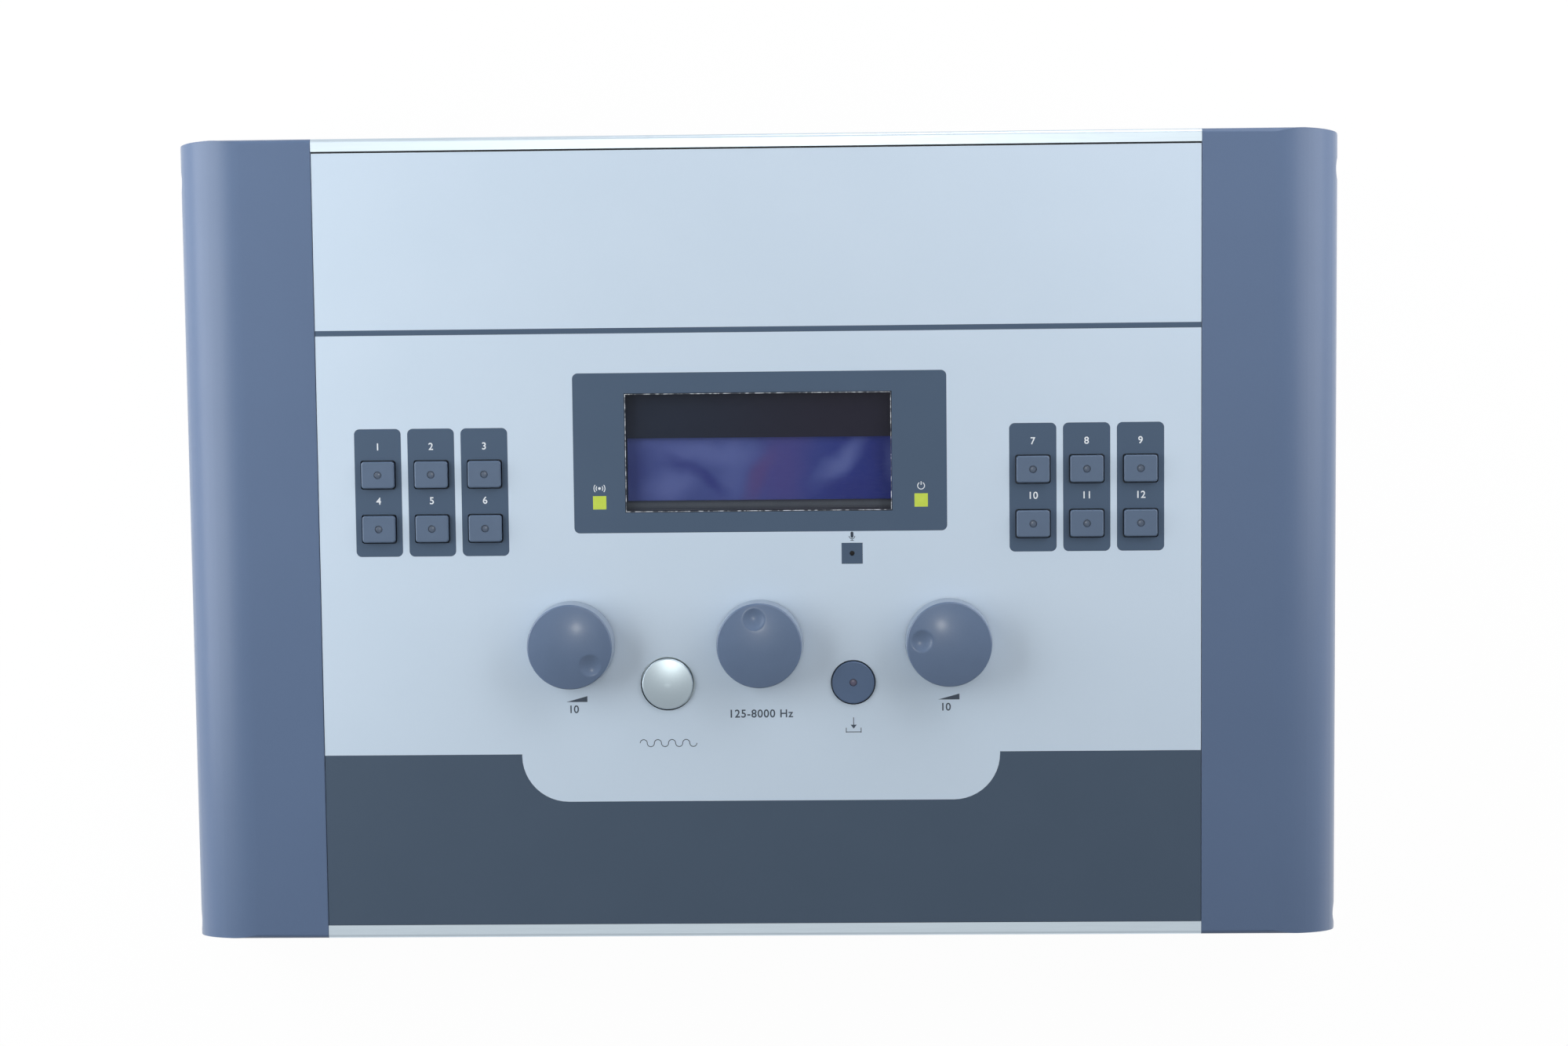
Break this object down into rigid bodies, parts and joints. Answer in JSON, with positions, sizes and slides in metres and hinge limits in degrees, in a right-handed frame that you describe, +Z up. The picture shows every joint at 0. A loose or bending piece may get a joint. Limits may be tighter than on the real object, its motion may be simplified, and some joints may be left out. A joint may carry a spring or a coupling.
{
  "type": "audiometer",
  "caption": "Desk-top hearing-test console: wedge case between two cheeks, display, small keys, three large knobs, two round buttons, jacks and mains inlet at the rear.",
  "frame": {"origin": "on the desk, under the middle of the case", "axes": "+X to the operator's right, +Y towards the rear plates, +Z up"},
  "size_m": [0.3752, 0.2578, 0.078],
  "materials": {
    "cheek": "satin blue-grey moulding",
    "rail": "satin anodised",
    "tray": "fine powder coat",
    "rear_plate": "fine powder coat",
    "panel_metal": "bare sheet",
    "film": "fine-textured film, pale blue-grey",
    "dark_print": "dark printed field",
    "window": "clear tinted plate",
    "display_metal": "black frame",
    "display": "lit blue field",
    "board": "green circuit board",
    "indicator": "yellow-green clear plastic",
    "black_part": "black moulding",
    "steel": "zinc plated",
    "brass": "plated",
    "foot": "matt rubber",
    "key": "satin blue-grey moulding",
    "knob": "satin blue-grey moulding",
    "tone_cap": "satin silver plating",
    "store_cap": "dark blue-grey moulding",
    "ferrite": "matt ferrite",
    "winding": "yellow tape",
    "cable": "grey flat cable",
    "lead": "black insulation",
    "fuse_glass": "clear glass tube"
  },
  "bodies": {
    "console": {"left_cheek": "cheek", "right_cheek": "cheek", "cheek_screws": "steel", "front_rail": "rail", "rear_rail": "rail", "base_tray": "tray", "rear_plates": "rear_plate", "case_screws": "steel", "rubber_feet": "foot", "top_panel": "panel_metal", "face_film": "film", "dark_fields": "dark_print", "display_window": "window", "display_frame": "display_metal", "display_glass": "display", "display_board": "board", "indicator_windows": "indicator", "indicator_lamps": "indicator", "microphone": "black_part", "panel_board": "board", "board_standoffs": "brass", "push_switches": "black_part", "encoders": "steel", "panel_nuts": "steel", "signal_board": "board", "power_board": "board", "signal_chips": "black_part", "capacitors": "black_part", "transformer_core": "ferrite", "transformer_winding": "winding", "ribbon_headers": "black_part", "ribbon_cable": "cable", "power_leads": "lead", "headphone_jacks": "black_part", "mains_inlet": "black_part", "mains_terminals": "brass", "rocker_frame": "black_part"},
    "key_left_ear": {"key_left_ear": "key"},
    "key_right_ear": {"key_right_ear": "key"},
    "key_bone": {"key_bone": "key"},
    "key_tone": {"key_tone": "key"},
    "key_warble": {"key_warble": "key"},
    "key_pulse": {"key_pulse": "key"},
    "key_field_one": {"key_field_one": "key"},
    "key_field_two": {"key_field_two": "key"},
    "key_external": {"key_external": "key"},
    "key_masking": {"key_masking": "key"},
    "key_talk": {"key_talk": "key"},
    "key_step": {"key_step": "key"},
    "tone_button": {"tone_button": "tone_cap"},
    "store_button": {"store_button": "store_cap"},
    "left_level_knob": {"knob_left_level": "knob", "shaft_left_level": "steel"},
    "frequency_knob": {"knob_frequency": "knob", "shaft_frequency": "steel"},
    "right_level_knob": {"knob_right_level": "knob", "shaft_right_level": "steel"},
    "power_rocker": {"power_rocker": "black_part"},
    "fuse_drawer": {"fuse_drawer": "black_part", "fuses": "fuse_glass"}
  },
  "joints": [
    {"name": "key_left_ear_press", "type": "slide", "parent": "console", "child": "key_left_ear", "axis": [0, 0.1045, -0.9945], "range_m": [0, 0.0012], "stiffness_N_per_m": 600, "springref_m": -0.0015},
    {"name": "key_right_ear_press", "type": "slide", "parent": "console", "child": "key_right_ear", "axis": [0, 0.1045, -0.9945], "range_m": [0, 0.0012], "stiffness_N_per_m": 600, "springref_m": -0.0015},
    {"name": "key_bone_press", "type": "slide", "parent": "console", "child": "key_bone", "axis": [0, 0.1045, -0.9945], "range_m": [0, 0.0012], "stiffness_N_per_m": 600, "springref_m": -0.0015},
    {"name": "key_tone_press", "type": "slide", "parent": "console", "child": "key_tone", "axis": [0, 0.1045, -0.9945], "range_m": [0, 0.0012], "stiffness_N_per_m": 600, "springref_m": -0.0015},
    {"name": "key_warble_press", "type": "slide", "parent": "console", "child": "key_warble", "axis": [0, 0.1045, -0.9945], "range_m": [0, 0.0012], "stiffness_N_per_m": 600, "springref_m": -0.0015},
    {"name": "key_pulse_press", "type": "slide", "parent": "console", "child": "key_pulse", "axis": [0, 0.1045, -0.9945], "range_m": [0, 0.0012], "stiffness_N_per_m": 600, "springref_m": -0.0015},
    {"name": "key_field_one_press", "type": "slide", "parent": "console", "child": "key_field_one", "axis": [0, 0.1045, -0.9945], "range_m": [0, 0.0012], "stiffness_N_per_m": 600, "springref_m": -0.0015},
    {"name": "key_field_two_press", "type": "slide", "parent": "console", "child": "key_field_two", "axis": [0, 0.1045, -0.9945], "range_m": [0, 0.0012], "stiffness_N_per_m": 600, "springref_m": -0.0015},
    {"name": "key_external_press", "type": "slide", "parent": "console", "child": "key_external", "axis": [0, 0.1045, -0.9945], "range_m": [0, 0.0012], "stiffness_N_per_m": 600, "springref_m": -0.0015},
    {"name": "key_masking_press", "type": "slide", "parent": "console", "child": "key_masking", "axis": [0, 0.1045, -0.9945], "range_m": [0, 0.0012], "stiffness_N_per_m": 600, "springref_m": -0.0015},
    {"name": "key_talk_press", "type": "slide", "parent": "console", "child": "key_talk", "axis": [0, 0.1045, -0.9945], "range_m": [0, 0.0012], "stiffness_N_per_m": 600, "springref_m": -0.0015},
    {"name": "key_step_press", "type": "slide", "parent": "console", "child": "key_step", "axis": [0, 0.1045, -0.9945], "range_m": [0, 0.0012], "stiffness_N_per_m": 600, "springref_m": -0.0015},
    {"name": "tone_button_press", "type": "slide", "parent": "console", "child": "tone_button", "axis": [0, 0.1045, -0.9945], "range_m": [0, 0.0012], "stiffness_N_per_m": 600, "springref_m": -0.0015},
    {"name": "store_button_press", "type": "slide", "parent": "console", "child": "store_button", "axis": [0, 0.1045, -0.9945], "range_m": [0, 0.0012], "stiffness_N_per_m": 600, "springref_m": -0.0015},
    {"name": "left_level_knob_turn", "type": "hinge", "parent": "console", "child": "left_level_knob", "pos_m": [-0.0608, -0.03332, 0.06105], "axis": [0, -0.1045, 0.9945], "continuous": true},
    {"name": "frequency_knob_turn", "type": "hinge", "parent": "console", "child": "frequency_knob", "pos_m": [0, -0.03332, 0.06105], "axis": [0, -0.1045, 0.9945], "continuous": true},
    {"name": "right_level_knob_turn", "type": "hinge", "parent": "console", "child": "right_level_knob", "pos_m": [0.0608, -0.03332, 0.06105], "axis": [0, -0.1045, 0.9945], "continuous": true},
    {"name": "power_rocker_tilt", "type": "hinge", "parent": "console", "child": "power_rocker", "pos_m": [0.08, 0.12359, 0.0332], "axis": [1, 0, 0], "range_deg": [0, 16]},
    {"name": "fuse_drawer_pull", "type": "slide", "parent": "console", "child": "fuse_drawer", "axis": [0, 1, 0], "range_m": [0, 0.014]}
  ]
}
